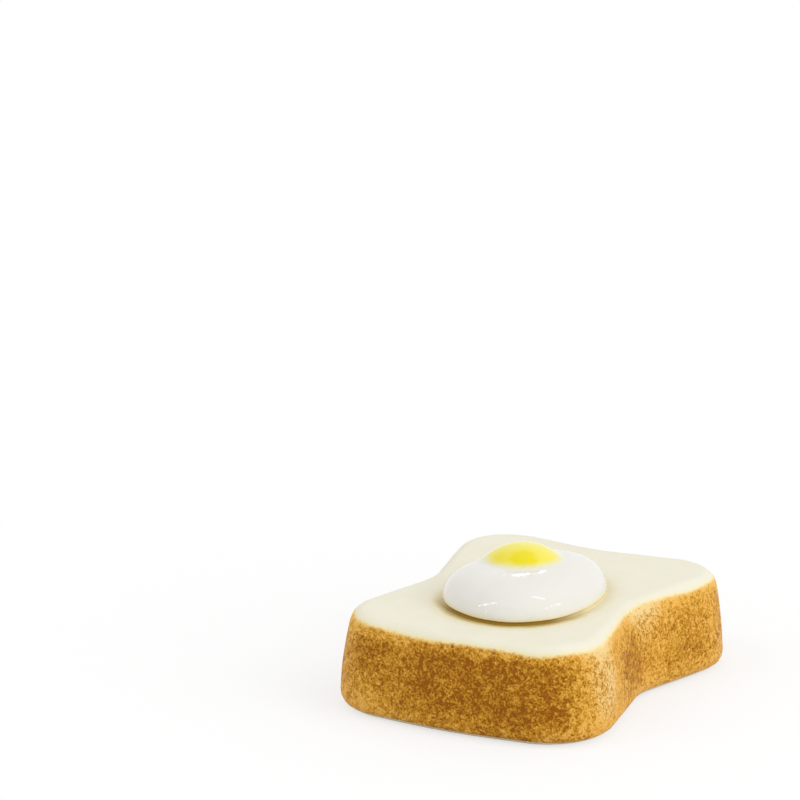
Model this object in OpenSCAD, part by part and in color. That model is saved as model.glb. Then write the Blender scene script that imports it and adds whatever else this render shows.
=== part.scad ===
// Chopstick rest in glazed ceramic, shaped as a waisted slice of bread with a fried egg on it.
// The foot edge of the slice faces -Y, its crown faces +Y, and it stands on Z = 0.
// The origin is the middle of the slice's outline, on the surface that it stands on.

/* [Slice outline] */
// Distance between the foot corners and the crown corners, before rounding
slice_len = 57; // [50:0.5:66]
// Width across the foot corners, before rounding
foot_w = 46.8; // [42:0.2:54]
// Radius that rounds the foot corners
foot_r = 10.5; // [8:0.5:13]
// How far the foot edge bows out at its middle
foot_bow = 2.3; // [0.5:0.1:4]
// Width across the waist, before rounding
waist_w = 36.6; // [32:0.2:39]
// Radius that rounds the waist
waist_r = 14; // [8:0.5:18]
// Width across the shoulders, where the crown starts to widen
shoulder_w = 42.8; // [40:0.2:46]
// Radius that rounds the shoulders
shoulder_r = 14.8; // [8:0.2:18]
// Width across the crown corners, before rounding
crown_w = 51.2; // [47:0.2:58]
// Radius that rounds the crown corners
crown_r = 9.8; // [8:0.2:12]
// How far the crown edge dips at its middle
crown_dip = 4.2; // [1:0.1:6]

/* [Slice section] */
// Thickness of the slice
slice_h = 14.5; // [12:0.5:18]
// Lean of the sides, inwards from foot to top, in degrees
side_draft = 7.3; // [2:0.1:10]
// How far the sides swell out at half height
side_bulge = 0.5; // [0:0.1:1]
// Radius of the edge round the top
top_edge_r = 1.8; // [1:0.1:2.5]
// Radius of the edge round the base
base_edge_r = 2.3; // [1.2:0.1:3]

/* [Underside] */
// Width of the unglazed rim that the slice stands on
foot_rim_w = 4; // [2:0.5:5]
// Depth of the recess inside that rim
recess_depth = 1.5; // [0.5:0.1:3]

/* [Glaze coats] */
// Thickness of the fired coats
glaze_t = 0.4; // [0.2:0.05:0.8]
// Height of the wiped line at the base that the crust coat leaves bare
wiped_line_h = 0.9; // [0.4:0.1:1.6]
// How far the crumb coat laps down over the top edge
crumb_lap = 1.1; // [0.8:0.1:1.7]

/* [Egg white] */
// Length of the egg white
white_len = 28.8; // [25:0.2:33]
// Width of the egg white
white_w = 22.2; // [20:0.2:26]
// Height of the egg white above the slice
white_h = 5.2; // [4:0.1:7]
// Height of its widest line above the slice
white_rim_h = 0.7; // [0.4:0.1:1.2]
// How far its foot draws in below the widest line
white_undercut = 0.5; // [0.2:0.1:1]
// Turn of its long axis from +Y towards +X, in degrees
white_turn = 5; // [-30:1:30]
// Distance of its middle from the middle of the slice, towards +X
white_x = 1.3; // [-2:0.1:3]
// Distance of its middle from the middle of the slice, towards +Y
white_y = -4; // [-6:0.1:2]

/* [Yolk] */
// Width of the yolk where it leaves the white
yolk_w = 11.4; // [9:0.2:13]
// Height of the yolk above the white
yolk_h = 2.3; // [1.5:0.1:3.5]
// Distance of the yolk from the middle of the egg white, towards +X
yolk_x = -1.8; // [-2.5:0.1:2.5]
// Distance of the yolk from the middle of the egg white, towards +Y
yolk_y = 2.2; // [-4:0.1:4]
// Reach of the soft hollow between the yolk and the white
yolk_blend = 0.7; // [0.3:0.1:1.2]
// Depth of the yolk's seat in the white
yolk_seat_depth = 2; // [1:0.1:3]

/* [Pooled glaze] */
// Height that the pooled glaze climbs to, as a share of the height of the white's widest line
bead_climb_share = 0.8; // [0.4:0.05:0.9]
// How far the pooled glaze runs out over the crumb
bead_w = 0.6; // [0.3:0.05:1]

/* [Hidden] */

// Heights of the waist and the shoulders, as shares of the way from foot corner to crown corner
waist_share = 0.478;
shoulder_share = 0.683;
// Radii that ease the middle of the foot edge and of the crown edge, as shares of the slice's length
foot_ease_share = 1.12;
crown_ease_share = 0.37;
// Most of a side of the outline that its two rounded corners may use up together
side_share = 0.96;
// Radius of the recess's inner edge, as a share of its depth
recess_edge_share = 0.7;

// One side of a rounded corner turns by at most this many degrees
arc_step = 9;
// Levels in each rounded edge and on the swelling sides
edge_levels = 4;
side_levels = 5;

// Cuts run past the surface that they open by this much
overrun = slice_h / 20;

// The egg white's outline is an ellipse drawn out on one side by this share, towards this angle
lopsided_share = 0.04;
lopsided_at = -43;
// Powers that make the egg white's dome flat on top and steep at its rim
dome_power = 4.75;
dome_fall = 0.62;
// The undercut starts at this angle, measured from straight down
undercut_from = 40;
// The pooled glaze climbs to this angle of the undercut
bead_top_angle = acos((1 - bead_climb_share) * cos(undercut_from));
bead_h = white_rim_h * bead_climb_share;
// The hollow face of the pooled glaze ends at this angle, which leaves it a fine edge
bead_end_angle = 60;
// The yolk leaves its seat at this share of its radius
yolk_seam_share = 0.93;

// Points round the egg, and levels on each of its surfaces
egg_sides = 72;
dome_levels = 13;
undercut_levels = 3;
yolk_levels = 7;
bead_levels = 4;

yolk_r = yolk_w / 2;
// Radius of the ball that the yolk's dome is cut from
yolk_ball_r = (yolk_r * yolk_r + yolk_h * yolk_h) / (2 * yolk_h);
white_middle = [white_x, white_y];
yolk_middle = white_middle + [yolk_x, yolk_y];
yolk_foot_z = white_dome_z(yolk_middle);

// Rounded corners

function unit(v) = v / norm(v);

function turn_between(from, to) = (to - from + 540) % 360 - 180;

// Half of the angle inside the corner b between its neighbours a and c
function half_angle(a, b, c) = acos(unit(a - b) * unit(c - b)) / 2;

// Points along the arc that rounds corner b, each with its outward direction
function corner_arc(a, b, c, reach) =
    let (
        u = unit(a - b),
        v = unit(c - b),
        half = half_angle(a, b, c),
        radius = reach * tan(half),
        middle = b + unit(u + v) * radius / sin(half),
        first = b + u * reach - middle,
        last = b + v * reach - middle,
        start = atan2(first.y, first.x),
        sweep = turn_between(start, atan2(last.y, last.x)),
        steps = max(2, ceil(abs(sweep) / arc_step))
    )
    [for (i = [0 : steps])
        let (angle = start + sweep * i / steps, ray = [cos(angle), sin(angle)])
        [middle + radius * ray, sweep > 0 ? ray : -ray]];

// An outline with rounded corners, each given as [x, y, radius]. Where the roundings of two
// corners don't both fit on the side between them, they share it in proportion.
function rounded_outline(corners) =
    let (
        count = len(corners),
        at = [for (c = corners) [c.x, c.y]],
        before = [for (i = [0 : count - 1]) (i + count - 1) % count],
        after = [for (i = [0 : count - 1]) (i + 1) % count],
        wished = [for (i = [0 : count - 1])
            corners[i].z / tan(half_angle(at[before[i]], at[i], at[after[i]]))],
        fit = [for (i = [0 : count - 1])
            min(1, side_share * norm(at[i] - at[after[i]]) / (wished[i] + wished[after[i]]))]
    )
    [for (i = [0 : count - 1])
        each corner_arc(at[before[i]], at[i], at[after[i]],
            wished[i] * min(fit[i], fit[before[i]]))];

// The slice's outline, counter-clockwise from the middle of the foot edge

right_corners = [
    [foot_w / 2, -slice_len / 2, foot_r],
    [waist_w / 2, slice_len * (waist_share - 1 / 2), waist_r],
    [shoulder_w / 2, slice_len * (shoulder_share - 1 / 2), shoulder_r],
    [crown_w / 2, slice_len / 2, crown_r]
];

slice_corners = concat(
    [[0, -slice_len / 2 - foot_bow, slice_len * foot_ease_share]],
    right_corners,
    [[0, slice_len / 2 - crown_dip, slice_len * crown_ease_share]],
    [for (i = [len(right_corners) - 1 : -1 : 0])
        let (c = right_corners[i])
        [-c.x, c.y, c.z]]
);

raw_outline = rounded_outline(slice_corners);
raw_ys = [for (q = raw_outline) q[0].y];
// Moves the outline so that the origin lies half way between its foot and its crown
centring = [0, -(min(raw_ys) + max(raw_ys)) / 2];
slice_outline = [for (q = raw_outline) [q[0] + centring, q[1]]];

// Distance that the side wall lies inside the slice's outline at height z
function side_inset(z) =
    z * tan(side_draft)
    - 4 * side_bulge * (z / slice_h) * (1 - z / slice_h)
    + edge_inset(base_edge_r, base_edge_r - z)
    + edge_inset(top_edge_r, z - slice_h + top_edge_r);

// Inset of a rounded edge of radius r at the distance past which its rounding starts
function edge_inset(r, past) = past <= 0 ? 0 : r - sqrt(max(0, r * r - past * past));

// Heights at which the slice's wall has a ring of points
wall_levels = concat(
    [for (i = [0 : edge_levels - 1]) base_edge_r * (1 - cos(90 * i / edge_levels))],
    [for (i = [0 : side_levels])
        base_edge_r + (slice_h - top_edge_r - base_edge_r) * i / side_levels],
    [for (i = [1 : edge_levels]) slice_h - top_edge_r * (1 - sin(90 * i / edge_levels))]
);

// The wall's levels from one height to another with both ends, leaving out levels so close to
// an end that they would make slivers
function levels_between(low, high) =
    let (least = (high - low) / (len(wall_levels) * side_levels))
    concat([low], [for (z = wall_levels) if (z > low + least && z < high - least) z], [high]);

// The slice's outline drawn in by a distance, as a ring at height z
function slice_ring(inset, z) =
    [for (q = slice_outline) let (p = q[0] - q[1] * inset) [p.x, p.y, z]];

function wall_rings(low, high, depth = 0) =
    [for (z = levels_between(low, high)) slice_ring(side_inset(z) + depth, z)];

function reversed(list) = [for (i = [len(list) - 1 : -1 : 0]) list[i]];

// Solids through rings of points

// Triangles of the walls between neighbouring rings
function wall_faces(ring_count, sides, closed) =
    [for (k = [0 : ring_count - (closed ? 1 : 2)])
        for (i = [0 : sides - 1])
            let (
                a = k * sides + i,
                b = k * sides + (i + 1) % sides,
                next = (k + 1) % ring_count,
                c = next * sides + (i + 1) % sides,
                d = next * sides + i
            )
            each [[a, c, b], [a, d, c]]];

// A solid whose first and last rings are closed by fans round a tip, at the middle given.
// The last tip lies level with its ring unless a height is given for it.
module capped_loft(rings, middle = [0, 0], last_z = undef) {
    sides = len(rings[0]);
    count = len(rings);
    last = (count - 1) * sides;
    first_tip = count * sides;
    end_z = is_undef(last_z) ? rings[count - 1][0].z : last_z;
    points = concat(
        [for (ring = rings) each ring],
        [[middle.x, middle.y, rings[0][0].z], [middle.x, middle.y, end_z]]
    );
    caps = [for (i = [0 : sides - 1])
        each [
            [first_tip, i, (i + 1) % sides],
            [first_tip + 1, last + (i + 1) % sides, last + i]
        ]];
    polyhedron(points, concat(wall_faces(count, sides, false), caps));
}

// A closed band whose last ring joins its first
module band_loft(rings) {
    polyhedron([for (ring = rings) each ring], wall_faces(len(rings), len(rings[0]), true));
}

// The slice

crust_top = slice_h - crumb_lap;
coat_floor = slice_h - glaze_t;

// Rings of the recess inside the foot rim, from its rounded ceiling down past the base
function recess_rings() =
    let (inset = base_edge_r + foot_rim_w, edge_r = recess_depth * recess_edge_share)
    concat(
        [for (i = [0 : edge_levels])
            let (angle = 90 * i / edge_levels)
            slice_ring(
                inset + edge_r * (1 - sin(angle)),
                recess_depth - edge_r * (1 - cos(angle))
            )],
        [slice_ring(inset, -overrun)]
    );

// Everything below the surface that the slice stands on
module below_base() {
    depth = 2 * overrun;
    translate([-crown_w, -slice_len, -depth]) cube([2 * crown_w, 2 * slice_len, depth]);
}

// Clay body, stepped in above the wiped line by the thickness of the coats
module bread_slice() color([0.93, 0.90, 0.80]) {
    difference() {
        capped_loft(concat(
            recess_rings(),
            [slice_ring(side_inset(0), -overrun)],
            wall_rings(0, wiped_line_h),
            wall_rings(wiped_line_h, coat_floor, glaze_t)
        ));
        below_base();
    }
}

// Cream coat over the top face and its rounded edge
module crumb_glaze() color([0.94, 0.92, 0.84]) {
    capped_loft(concat(
        reversed(wall_rings(crust_top, coat_floor, glaze_t)),
        wall_rings(crust_top, slice_h)
    ));
}

// Brown speckled coat round the sides
module crust_glaze() color([0.68, 0.44, 0.15]) {
    band_loft(concat(
        wall_rings(wiped_line_h, crust_top),
        reversed(wall_rings(wiped_line_h, crust_top, glaze_t))
    ));
}

// The egg

// Distance from the middle of the egg white to its outline, in a direction measured from +X
function white_radius(angle) =
    let (
        along = angle - 90 + white_turn,
        part = atan2(sin(along) * white_len, cos(along) * white_w),
        reach = norm([cos(part) * white_len / 2, sin(part) * white_w / 2])
    )
    reach * (1 + lopsided_share * cos(3 * part - lopsided_at));

// Height of the egg white's own dome at a point, without the yolk
function white_dome_z(p) =
    let (
        from = p - white_middle,
        share = norm(from) / white_radius(atan2(from.y, from.x))
    )
    slice_h + white_rim_h
    + (white_h - white_rim_h) * pow(max(0, 1 - pow(share, dome_power)), dome_fall);

// Height of the yolk's dome at a point
function yolk_dome_z(p) =
    let (d = norm(p - yolk_middle))
    yolk_foot_z + yolk_h - yolk_ball_r + sqrt(max(0, yolk_ball_r * yolk_ball_r - d * d));

// The higher of two heights, with the hollow between them filled softly
function soft_max(a, b, reach) =
    let (part = max(0, min(1, (1 + (a - b) / reach) / 2)))
    b + (a - b) * part + reach * part * (1 - part);

function egg_z(p) = soft_max(yolk_dome_z(p), white_dome_z(p), yolk_blend);

function on_egg(p) = [p.x, p.y, egg_z(p)];

function ray_at(i) = let (angle = 360 * i / egg_sides) [cos(angle), sin(angle)];

// The white's outline moved out by a distance, as a ring at height z
function white_ring(out, z) =
    [for (i = [0 : egg_sides - 1])
        let (p = white_middle + ray_at(i) * (white_radius(360 * i / egg_sides) + out))
        [p.x, p.y, z]];

// Distance outwards from the white's widest line to its undercut at an angle of that curve
function undercut_out(angle) = -white_undercut * (1 - sin(angle)) / (1 - sin(undercut_from));

// Rings from the white's foot up its undercut, to an angle of that curve
function undercut_rings(to_angle) =
    [for (i = [0 : undercut_levels])
        let (angle = undercut_from + (to_angle - undercut_from) * i / undercut_levels)
        white_ring(
            undercut_out(angle),
            slice_h + white_rim_h * (1 - cos(angle) / cos(undercut_from))
        )];

// A circle round the yolk's middle, as plan points
function yolk_circle(r) = [for (i = [0 : egg_sides - 1]) yolk_middle + ray_at(i) * r];

seam_r = yolk_r * yolk_seam_share;
seam_floor_z = yolk_foot_z - yolk_seat_depth;

function level_ring(points, z) = [for (p = points) [p.x, p.y, z]];

// Rings over the dome, from the rim to the yolk's seam
function dome_rings() =
    let (
        seam = yolk_circle(seam_r),
        rim = [for (i = [0 : egg_sides - 1])
            white_middle + ray_at(i) * white_radius(360 * i / egg_sides)]
    )
    [for (k = [1 : dome_levels])
        let (part = cos(90 * k / dome_levels))
        [for (i = [0 : egg_sides - 1]) on_egg(seam[i] + (rim[i] - seam[i]) * part)]];

// White of the egg, with the yolk's seat sunk into its dome
module egg_white() color([0.96, 0.96, 0.95]) {
    capped_loft(
        concat(
            undercut_rings(bead_top_angle),
            [white_ring(0, slice_h + white_rim_h)],
            dome_rings(),
            [level_ring(yolk_circle(seam_r), seam_floor_z)]
        ),
        yolk_middle
    );
}

// Yolk, whose foot fills its seat
module egg_yolk() color([0.96, 0.85, 0.15]) {
    capped_loft(
        concat(
            [level_ring(yolk_circle(seam_r), seam_floor_z)],
            [for (k = [0 : yolk_levels - 1])
                let (r = seam_r * cos(90 * k / yolk_levels))
                [for (p = yolk_circle(r)) on_egg(p)]]
        ),
        yolk_middle,
        egg_z(yolk_middle)
    );
}

// Amber glaze pooled in the corner under the egg white's rim
module glaze_bead() color([0.55, 0.38, 0.12]) {
    top_out = undercut_out(bead_top_angle);
    run = bead_w - top_out;
    hollow = [for (i = [bead_levels : -1 : 1])
        let (angle = bead_end_angle * i / bead_levels)
        white_ring(top_out + run * (1 - cos(angle)), slice_h + bead_h * (1 - sin(angle)))];
    foot = white_ring(top_out + run * (1 - cos(bead_end_angle)), slice_h);
    band_loft(concat([foot], hollow, reversed(undercut_rings(bead_top_angle))));
}

bread_slice();
crumb_glaze();
crust_glaze();
egg_white();
egg_yolk();
glaze_bead();
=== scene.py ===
"""Chopstick rest in glazed ceramic: a waisted slice of toast with a fried egg on its crumb.

The pieces are grown ring by ring round the slice's outline and round the egg, and then glazed.
"""

import math

import bmesh
import bpy
from mathutils import Matrix, Vector
from mathutils.kdtree import KDTree


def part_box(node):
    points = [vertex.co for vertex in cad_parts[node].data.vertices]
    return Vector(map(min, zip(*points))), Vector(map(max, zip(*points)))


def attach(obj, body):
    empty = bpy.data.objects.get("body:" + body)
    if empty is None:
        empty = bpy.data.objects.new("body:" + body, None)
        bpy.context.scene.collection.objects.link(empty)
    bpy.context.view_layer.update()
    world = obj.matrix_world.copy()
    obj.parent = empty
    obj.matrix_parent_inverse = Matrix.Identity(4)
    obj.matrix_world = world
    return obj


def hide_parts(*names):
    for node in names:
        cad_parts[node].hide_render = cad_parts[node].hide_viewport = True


bl_info = {
    "name": "Fried Egg Toast Chopstick Rest",
    "version": (1, 0, 0),
    "blender": (4, 5, 0),
    "location": "View3D > Sidebar > Toast Rest",
    "description": "Models and glazes a ceramic chopstick rest shaped as toast with a fried egg",
    "category": "Add Mesh",
}

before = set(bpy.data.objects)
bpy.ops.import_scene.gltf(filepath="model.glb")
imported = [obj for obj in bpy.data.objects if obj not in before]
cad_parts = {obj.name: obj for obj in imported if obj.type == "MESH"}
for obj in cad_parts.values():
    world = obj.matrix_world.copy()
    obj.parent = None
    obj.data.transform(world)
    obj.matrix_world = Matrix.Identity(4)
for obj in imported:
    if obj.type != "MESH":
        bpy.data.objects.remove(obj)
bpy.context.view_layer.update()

MM = 0.001
BODY = "root"
BELOW_EDGE = "below_edge"
QUARTER = math.pi / 2

# Step between the last two rings at the seam of the two coats, so that their shading meets.
SEAM_STEP = 0.04 * MM


# Properties


def millimetres(name, value, description):
    """A length property, given in millimetres and kept in metres."""
    return bpy.props.FloatProperty(
        name=name, description=description, default=value * MM, unit="LENGTH", precision=5
    )


def degrees(name, value, description):
    """An angle property, given in degrees."""
    return bpy.props.FloatProperty(
        name=name, description=description, default=math.radians(value), unit="ROTATION"
    )


def share(name, value, description):
    """A plain number property from 0 to 1."""
    return bpy.props.FloatProperty(
        name=name, description=description, default=value, min=0, max=1, subtype="FACTOR"
    )


def linear(channel):
    """A screen colour channel from 0 to 255 as linear light."""
    level = channel / 255
    return level / 12.92 if level <= 0.04045 else ((level + 0.055) / 1.055) ** 2.4


def colour(name, red, green, blue, description):
    """A colour property, given as screen values from 0 to 255."""
    return bpy.props.FloatVectorProperty(
        name=name,
        description=description,
        default=(linear(red), linear(green), linear(blue)),
        subtype="COLOR",
        min=0,
        max=1,
    )


class ToastSliceSizes(bpy.types.PropertyGroup):
    """Sizes of the slice of bread. Its length and widths are taken between corners that aren't
    rounded yet."""

    length: millimetres("Length", 57, "Distance between the foot corners and the crown corners")
    foot_width: millimetres("Foot width", 46.8, "Width across the foot corners")
    foot_radius: millimetres("Foot radius", 10.5, "Radius that rounds the foot corners")
    foot_bow: millimetres("Foot bow", 2.3, "How far the foot edge bows out at its middle")
    waist_width: millimetres("Waist width", 36.6, "Width across the waist")
    waist_radius: millimetres("Waist radius", 14, "Radius that rounds the waist")
    shoulder_width: millimetres("Shoulder width", 42.8, "Width across the shoulders")
    shoulder_radius: millimetres("Shoulder radius", 14.8, "Radius that rounds the shoulders")
    crown_width: millimetres("Crown width", 51.2, "Width across the crown corners")
    crown_radius: millimetres("Crown radius", 9.8, "Radius that rounds the crown corners")
    crown_dip: millimetres("Crown dip", 4.2, "How far the crown edge dips at its middle")
    side_draft: degrees("Side draft", 7.3, "Lean of the sides, inwards from foot to top")
    side_bulge: millimetres("Side bulge", 0.5, "How far the sides swell out at half height")
    top_edge_radius: millimetres("Top edge radius", 1.8, "Radius of the edge round the top")
    base_edge_radius: millimetres("Base edge radius", 2.3, "Radius of the edge round the base")
    foot_rim_width: millimetres("Foot rim width", 4, "Width of the bare rim that it stands on")
    recess_depth: millimetres("Recess depth", 1.5, "Depth of the recess inside the foot rim")
    unevenness: millimetres("Unevenness", 0.32, "Sway of the hand-pressed surface")
    unevenness_reach: millimetres("Unevenness reach", 11, "Width of one such sway")


class ToastCoatSizes(bpy.types.PropertyGroup):
    """Sizes of the fired glaze coats."""

    thickness: millimetres("Thickness", 0.4, "Thickness of the fired coats")
    proud: millimetres("Proud", 0.15, "How far the brown coat stands proud of the bare clay")
    lip_radius: millimetres("Lip radius", 0.28, "Radius of the brown coat's lower lip")
    wiped_line: millimetres("Wiped line", 0.65, "Height of the bare line round the base")
    line_sway: millimetres("Line sway", 0.16, "Sway of the wiped line round the base")


class FriedEggSizes(bpy.types.PropertyGroup):
    """Sizes of the fried egg."""

    white_length: millimetres("White length", 28.8, "Length of the egg white")
    white_width: millimetres("White width", 22.2, "Width of the egg white")
    white_height: millimetres("White height", 5.2, "Height of the egg white above the slice")
    rim_height: millimetres("Rim height", 0.52, "Height of its widest line above the slice")
    undercut: millimetres("Undercut", 0.5, "How far its foot draws in below that line")
    turn: degrees("Turn", 5, "Turn of its long axis towards the right")
    white_x: millimetres("White X", 1.3, "Place of its middle towards the right")
    white_y: millimetres("White Y", -4, "Place of its middle towards the crown")
    yolk_width: millimetres("Yolk width", 11.4, "Width of the yolk where it leaves the white")
    yolk_height: millimetres("Yolk height", 2.3, "Height of the yolk above the white")
    yolk_x: millimetres("Yolk X", -1.8, "Place of the yolk on the white, towards the right")
    yolk_y: millimetres("Yolk Y", 2.2, "Place of the yolk on the white, towards the crown")
    yolk_blend: millimetres("Yolk blend", 0.9, "Reach of the hollow between yolk and white")
    pool_width: millimetres("Pool width", 0.75, "How far the pooled glaze runs out")
    pool_climb: share("Pool climb", 0.8, "How far the pooled glaze climbs to the widest line")


class ToastColours(bpy.types.PropertyGroup):
    """Colours of the clay and the glazes."""

    clay: colour("Clay", 246, 235, 206, "Bare clay of the foot")
    clay_shade: colour("Clay shade", 228, 214, 180, "Darker grain in the bare clay")
    cream: colour("Cream", 239, 235, 216, "Glaze on the crumb")
    cream_shade: colour("Cream shade", 237, 233, 212, "Thin places of the crumb's glaze")
    straw: colour("Straw", 246, 230, 174, "Pale rim where the brown fades out")
    honey: colour("Honey", 243, 187, 90, "Light grains of the crust")
    pale_honey: colour("Pale honey", 245, 214, 148, "Light grains where the brown is thin")
    caramel: colour("Caramel", 207, 148, 42, "Middle tone of the crust")
    burnt: colour("Burnt", 150, 88, 14, "Dark grains of the crust")
    egg_white: colour("Egg white", 233, 231, 223, "Glaze on the egg white")
    yolk: colour("Yolk", 238, 221, 0, "Yolk at its deepest")
    yolk_pale: colour("Pale yolk", 247, 235, 100, "Yolk where its glaze thins")
    # The amber's darkness close under the white's lip is partly painted shade.
    amber: colour("Amber", 122, 86, 4, "Glaze pooled under the egg white")
    amber_thin: colour("Thin amber", 222, 204, 152, "The pooled glaze where it is thin")
    amber_shallow: colour("Shallow amber", 148, 116, 34, "The pooled glaze at its front edge")
    halo: colour("Halo", 236, 220, 170, "Wide pale stain on the crumb round the egg")
    # The narrow stain is partly a glaze stain and partly painted shadow of the egg's rim.
    stain: colour("Stain", 172, 142, 66, "Narrow stain on the crumb next to the pooled glaze")


class ToastStageSettings(bpy.types.PropertyGroup):
    """Camera, lamps and floor."""

    camera_place: bpy.props.FloatVectorProperty(
        name="Camera place",
        description="Where the camera stands",
        default=(0.26553, -0.54680, 0.20055),
        subtype="TRANSLATION",
        unit="LENGTH",
    )
    azimuth: degrees("Azimuth", 27.75, "Turn of the camera round the rest")
    elevation: degrees("Elevation", 14.5, "Angle at which the camera looks down")
    roll: degrees("Roll", 0.35, "Roll of the camera")
    focal_length: bpy.props.FloatProperty(
        name="Focal length", description="Focal length in millimetres", default=191.88
    )
    sensor_width: bpy.props.FloatProperty(
        name="Sensor width", description="Sensor width in millimetres", default=36
    )
    floor_radius: millimetres("Floor radius", 3000, "Radius of the floor")
    sky_light: bpy.props.FloatProperty(
        name="Sky light", description="Strength of the white surroundings", default=0.74
    )


# Outline of the slice


def smooth_step(low, high, value):
    """0 below low, 1 above high, and a soft rise between them."""
    part = min(1, max(0, (value - low) / (high - low)))
    return part * part * (3 - 2 * part)


def steps_between(first, last, count):
    """Values in equal steps from first to last, both of them included."""
    return [first + (last - first) * index / count for index in range(count + 1)]


def inner_parts(count):
    """Sizes of the even rings between an edge, at 1, and its middle, at 0."""
    return steps_between(1, 0, count)[1:-1]


def corner_arc(before, corner, after, reach):
    """Points along the arc that rounds a corner, each with its outward direction."""
    widest_step = math.radians(3)
    to_before = (before - corner).normalized()
    to_after = (after - corner).normalized()
    half = to_before.angle(to_after) / 2
    radius = reach * math.tan(half)
    middle = corner + (to_before + to_after).normalized() * radius / math.sin(half)
    first = corner + to_before * reach - middle
    last = corner + to_after * reach - middle
    start = math.atan2(first.y, first.x)
    sweep = (math.atan2(last.y, last.x) - start + 3 * math.pi) % (2 * math.pi) - math.pi
    points = []
    for angle in steps_between(start, start + sweep, max(4, math.ceil(abs(sweep) / widest_step))):
        ray = Vector((math.cos(angle), math.sin(angle)))
        points.append((middle + ray * radius, ray if sweep > 0 else -ray))
    return points


def rounded_outline(corners):
    """An outline through rounded corners, each an (x, y, radius). Roundings that don't both
    fit on a side share most of it in proportion."""
    side_share = 0.96
    count = len(corners)
    at = [Vector(corner[:2]) for corner in corners]
    wished = []
    for index in range(count):
        to_before = at[index - 1] - at[index]
        to_after = at[(index + 1) % count] - at[index]
        wished.append(corners[index][2] / math.tan(to_before.angle(to_after) / 2))
    fit = []
    for index in range(count):
        after = (index + 1) % count
        side = (at[index] - at[after]).length
        fit.append(min(1, side_share * side / (wished[index] + wished[after])))
    points = []
    for index in range(count):
        reach = wished[index] * min(fit[index], fit[index - 1])
        points += corner_arc(at[index - 1], at[index], at[(index + 1) % count], reach)
    return points


def filled_outline(points, spacing):
    """The outline with points added where two neighbours lie further apart than the spacing."""
    filled = []
    for index, (point, ray) in enumerate(points):
        following = points[(index + 1) % len(points)][0]
        parts = max(1, math.ceil((following - point).length / spacing))
        filled += [(point.lerp(following, part / parts), ray) for part in range(parts)]
    return filled


def slice_outline(sizes):
    """The slice's outline, counter-clockwise from the middle of its foot edge."""
    waist_share, shoulder_share = 0.478, 0.683
    foot_ease_share, crown_ease_share = 1.12, 0.37
    half_length = sizes.length / 2
    waist_y = sizes.length * (waist_share - 1 / 2)
    shoulder_y = sizes.length * (shoulder_share - 1 / 2)
    right = [
        (sizes.foot_width / 2, -half_length, sizes.foot_radius),
        (sizes.waist_width / 2, waist_y, sizes.waist_radius),
        (sizes.shoulder_width / 2, shoulder_y, sizes.shoulder_radius),
        (sizes.crown_width / 2, half_length, sizes.crown_radius),
    ]
    foot_middle = (0, -half_length - sizes.foot_bow, sizes.length * foot_ease_share)
    crown_middle = (0, half_length - sizes.crown_dip, sizes.length * crown_ease_share)
    left = [(-x, y, radius) for x, y, radius in reversed(right)]
    raw = rounded_outline([foot_middle] + right + [crown_middle] + left)
    heights = [point.y for point, ray in raw]
    centring = Vector((0, -(min(heights) + max(heights)) / 2))
    return filled_outline([(point + centring, ray) for point, ray in raw], spacing=1.1 * MM)


def edge_inset(radius, past):
    """Inset of a rounded edge at the distance past which its rounding starts."""
    return 0 if past <= 0 else radius - math.sqrt(max(0, radius**2 - past**2))


class SliceWall:
    """The slice's wall: its outline, its leaning sides and its rounded edges."""

    # Waves of the wiped line: share of its sway, number round the slice and start.
    line_waves = ((0.6, 4, 1), (0.4, 11, 2))
    # The sway sets in over this share of the line's height, and fades out this far above it.
    sway_rise_share = 0.9
    sway_fade = 3 * MM

    def __init__(self, scene):
        self.sizes = scene.toast_slice
        self.coats = scene.toast_coats
        self.outline = slice_outline(self.sizes)
        self.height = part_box("crumb_glaze")[1].z
        self.wiped_line = self.coats.wiped_line
        self.crust_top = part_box("crust_glaze")[1].z

    def side_inset(self, z):
        """Distance that the wall lies inside the outline at a height."""
        sizes = self.sizes
        part = z / self.height
        return (
            z * math.tan(sizes.side_draft)
            - 4 * sizes.side_bulge * part * (1 - part)
            + edge_inset(sizes.base_edge_radius, sizes.base_edge_radius - z)
            + edge_inset(sizes.top_edge_radius, z - self.height + sizes.top_edge_radius)
        )

    def ring(self, inset, z):
        """The outline drawn in by a distance, at a height."""
        return [(point - ray * inset).to_3d() + Vector((0, 0, z)) for point, ray in self.outline]

    def line_sway(self):
        """How far the wiped line strays from its height at each point of the outline."""
        turns = steps_between(0, 2 * math.pi, len(self.outline))[:-1]
        waves = self.line_waves
        return [
            self.coats.line_sway
            * sum(part * math.sin(number * turn + start) for part, number, start in waves)
            for turn in turns
        ]

    def swayed_ring(self, depth, z):
        """A ring on the wall, set in by a depth, that follows the sway of the wiped line."""
        line = self.wiped_line
        fade = smooth_step(0, self.sway_rise_share * line, z)
        fade *= 1 - smooth_step(line, line + self.sway_fade, z)
        points = []
        for (point, ray), sway in zip(self.outline, self.line_sway()):
            own_z = z + sway * fade
            flat = point - ray * (self.side_inset(own_z) + depth)
            points.append(Vector((flat.x, flat.y, own_z)))
        return points

    def mark_below_edge(self, piece):
        """Keeps on each point how far down the surface it lies from the edge of the flat top, in
        millimetres. It is less than zero on the flat top itself."""
        radius = self.sizes.top_edge_radius
        flat_top = self.height - 0.001 * MM
        edge = self.ring(self.side_inset(self.height), self.height)
        tree = KDTree(len(edge))
        for index, point in enumerate(edge):
            tree.insert(point, index)
        tree.balance()
        marks = piece.data.attributes.new(BELOW_EDGE, "FLOAT", "POINT")
        for vert in piece.data.vertices:
            above = vert.co.z - (self.height - radius)
            if vert.co.z > flat_top:
                below = -tree.find(vert.co)[2]
            elif above > 0:
                below = radius * math.acos(above / radius)
            else:
                below = radius * QUARTER - above
            marks.data[vert.index].value = below / MM


# Shaping


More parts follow.
